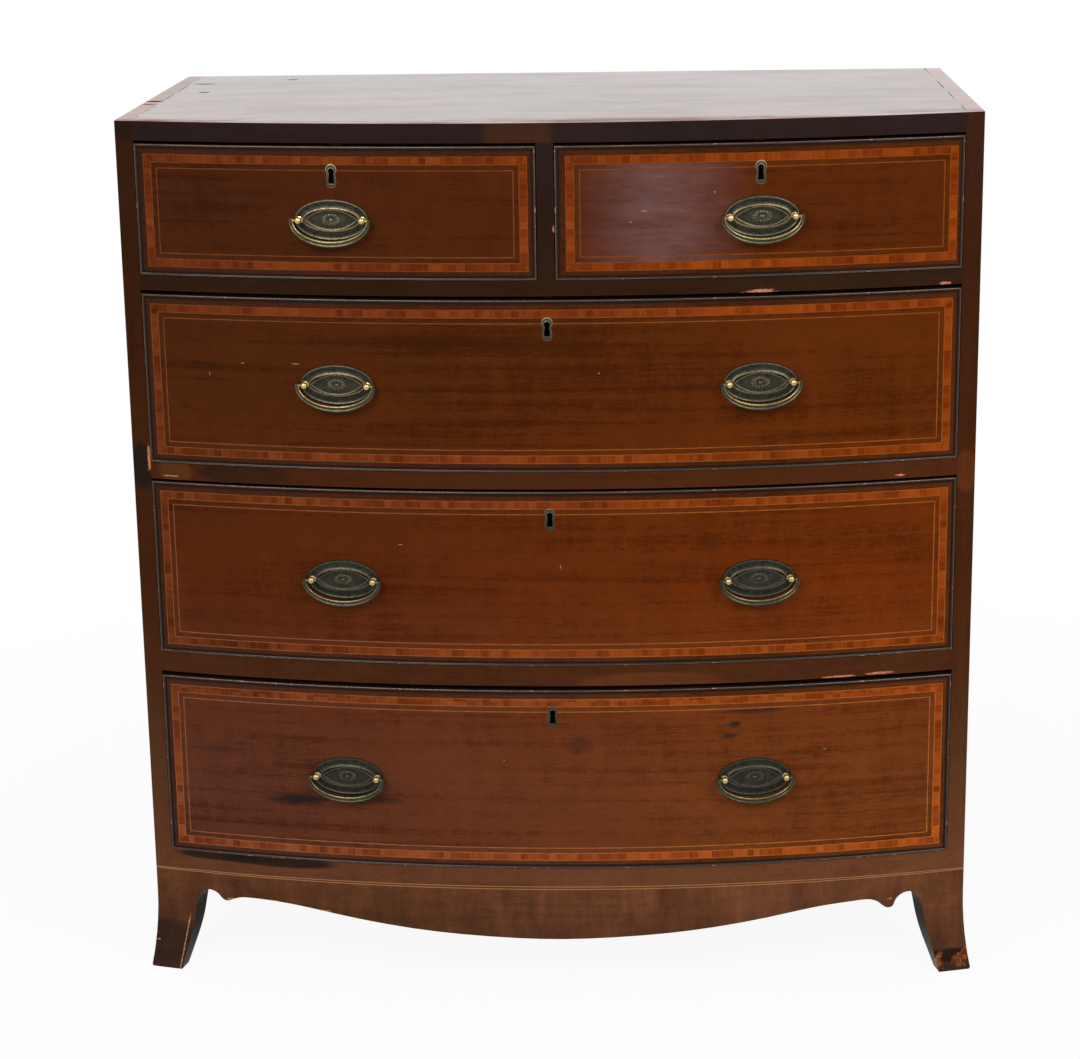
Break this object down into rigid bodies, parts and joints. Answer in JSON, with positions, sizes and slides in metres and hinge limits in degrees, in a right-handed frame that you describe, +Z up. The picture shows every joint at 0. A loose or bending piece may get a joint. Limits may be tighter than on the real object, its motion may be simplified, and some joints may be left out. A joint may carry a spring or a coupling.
{
  "type": "bow front chest of drawers",
  "caption": "Bow front chest of drawers with short over long cockbeaded drawers, oval swing handles, shaped apron and splayed bracket feet.",
  "frame": {"origin": "on the floor, at the middle of the overall width and depth", "axes": "+X to the right seen from the front, +Y to the back, +Z up; the bowed front faces -Y"},
  "size_m": [1.0368, 0.5902, 1.072],
  "materials": {
    "mahogany_front": "polished mahogany veneer, satinwood crossbanding",
    "mahogany": "polished mahogany, dark with age",
    "mahogany_top": "polished mahogany veneer, crossbanded edge",
    "dark_bead": "dark stained, polished",
    "oak": "bare oak, aged",
    "pine": "bare pine, aged",
    "dark_brass": "stamped brass, dark patina",
    "bright_brass": "turned brass, worn bright",
    "lock_brass": "old brass, dull"
  },
  "bodies": {
    "carcase": {"left_side": "mahogany", "right_side": "mahogany", "top_board": "pine", "top_veneer": "mahogany_top", "front_rails": "mahogany", "muntin": "mahogany", "dustboards": "pine", "back_boards": "pine", "drawer_guides": "pine", "aprons": "mahogany", "feet": "mahogany", "glue_blocks": "pine"},
    "short_left_drawer": {"short_left_front": "mahogany_front", "short_left_linings": "oak", "short_left_bottom": "oak", "short_left_cockbeads": "dark_bead", "short_left_lock": "lock_brass", "short_left_plates": "dark_brass", "short_left_posts": "bright_brass"},
    "short_left_bolt": {"short_left_bolt": "lock_brass"},
    "short_left_bail": {"short_left_bail": "dark_brass"},
    "short_right_drawer": {"short_right_front": "mahogany_front", "short_right_linings": "oak", "short_right_bottom": "oak", "short_right_cockbeads": "dark_bead", "short_right_lock": "lock_brass", "short_right_plates": "dark_brass", "short_right_posts": "bright_brass"},
    "short_right_bolt": {"short_right_bolt": "lock_brass"},
    "short_right_bail": {"short_right_bail": "dark_brass"},
    "long_top_drawer": {"long_top_front": "mahogany_front", "long_top_linings": "oak", "long_top_bottom": "oak", "long_top_cockbeads": "dark_bead", "long_top_lock": "lock_brass", "long_top_plates": "dark_brass", "long_top_posts": "bright_brass"},
    "long_top_bolt": {"long_top_bolt": "lock_brass"},
    "long_top_left_bail": {"long_top_left_bail": "dark_brass"},
    "long_top_right_bail": {"long_top_right_bail": "dark_brass"},
    "long_middle_drawer": {"long_middle_front": "mahogany_front", "long_middle_linings": "oak", "long_middle_bottom": "oak", "long_middle_cockbeads": "dark_bead", "long_middle_lock": "lock_brass", "long_middle_plates": "dark_brass", "long_middle_posts": "bright_brass"},
    "long_middle_bolt": {"long_middle_bolt": "lock_brass"},
    "long_middle_left_bail": {"long_middle_left_bail": "dark_brass"},
    "long_middle_right_bail": {"long_middle_right_bail": "dark_brass"},
    "long_bottom_drawer": {"long_bottom_front": "mahogany_front", "long_bottom_linings": "oak", "long_bottom_bottom": "oak", "long_bottom_cockbeads": "dark_bead", "long_bottom_lock": "lock_brass", "long_bottom_plates": "dark_brass", "long_bottom_posts": "bright_brass"},
    "long_bottom_bolt": {"long_bottom_bolt": "lock_brass"},
    "long_bottom_left_bail": {"long_bottom_left_bail": "dark_brass"},
    "long_bottom_right_bail": {"long_bottom_right_bail": "dark_brass"}
  },
  "joints": [
    {"name": "short_left_drawer_slide", "type": "slide", "parent": "carcase", "child": "short_left_drawer", "axis": [0, -1, 0], "range_m": [0, 0.4]},
    {"name": "short_left_bolt_slide", "type": "slide", "parent": "short_left_drawer", "child": "short_left_bolt", "axis": [0, 0, 1], "range_m": [0, 0.008]},
    {"name": "short_left_bail_swing", "type": "hinge", "parent": "short_left_drawer", "child": "short_left_bail", "pos_m": [-0.25046, -0.2854, 0.96064], "axis": [-0.9914, 0.1309, 0], "range_deg": [-10, 180]},
    {"name": "short_right_drawer_slide", "type": "slide", "parent": "carcase", "child": "short_right_drawer", "axis": [0, -1, 0], "range_m": [0, 0.4]},
    {"name": "short_right_bolt_slide", "type": "slide", "parent": "short_right_drawer", "child": "short_right_bolt", "axis": [0, 0, 1], "range_m": [0, 0.008]},
    {"name": "short_right_bail_swing", "type": "hinge", "parent": "short_right_drawer", "child": "short_right_bail", "pos_m": [0.25046, -0.2854, 0.96064], "axis": [-0.9914, -0.1309, 0], "range_deg": [-10, 180]},
    {"name": "long_top_drawer_slide", "type": "slide", "parent": "carcase", "child": "long_top_drawer", "axis": [0, -1, 0], "range_m": [0, 0.4]},
    {"name": "long_top_bolt_slide", "type": "slide", "parent": "long_top_drawer", "child": "long_top_bolt", "axis": [0, 0, 1], "range_m": [0, 0.008]},
    {"name": "long_top_left_bail_swing", "type": "hinge", "parent": "long_top_drawer", "child": "long_top_left_bail", "pos_m": [-0.25096, -0.28533, 0.76498], "axis": [-0.9914, 0.1311, 0], "range_deg": [-10, 180]},
    {"name": "long_top_right_bail_swing", "type": "hinge", "parent": "long_top_drawer", "child": "long_top_right_bail", "pos_m": [0.24996, -0.28546, 0.76498], "axis": [-0.9914, -0.1306, 0], "range_deg": [-10, 180]},
    {"name": "long_middle_drawer_slide", "type": "slide", "parent": "carcase", "child": "long_middle_drawer", "axis": [0, -1, 0], "range_m": [0, 0.4]},
    {"name": "long_middle_bolt_slide", "type": "slide", "parent": "long_middle_drawer", "child": "long_middle_bolt", "axis": [0, 0, 1], "range_m": [0, 0.008]},
    {"name": "long_middle_left_bail_swing", "type": "hinge", "parent": "long_middle_drawer", "child": "long_middle_left_bail", "pos_m": [-0.25145, -0.28526, 0.52552], "axis": [-0.9913, 0.1314, 0], "range_deg": [-10, 180]},
    {"name": "long_middle_right_bail_swing", "type": "hinge", "parent": "long_middle_drawer", "child": "long_middle_right_bail", "pos_m": [0.24946, -0.28553, 0.52552], "axis": [-0.9915, -0.1304, 0], "range_deg": [-10, 180]},
    {"name": "long_bottom_drawer_slide", "type": "slide", "parent": "carcase", "child": "long_bottom_drawer", "axis": [0, -1, 0], "range_m": [0, 0.4]},
    {"name": "long_bottom_bolt_slide", "type": "slide", "parent": "long_bottom_drawer", "child": "long_bottom_bolt", "axis": [0, 0, 1], "range_m": [0, 0.008]},
    {"name": "long_bottom_left_bail_swing", "type": "hinge", "parent": "long_bottom_drawer", "child": "long_bottom_left_bail", "pos_m": [-0.25494, -0.2848, 0.27371], "axis": [-0.9911, 0.1332, 0], "range_deg": [-10, 180]},
    {"name": "long_bottom_right_bail_swing", "type": "hinge", "parent": "long_bottom_drawer", "child": "long_bottom_right_bail", "pos_m": [0.24598, -0.28598, 0.27371], "axis": [-0.9917, -0.1285, 0], "range_deg": [-10, 180]}
  ]
}
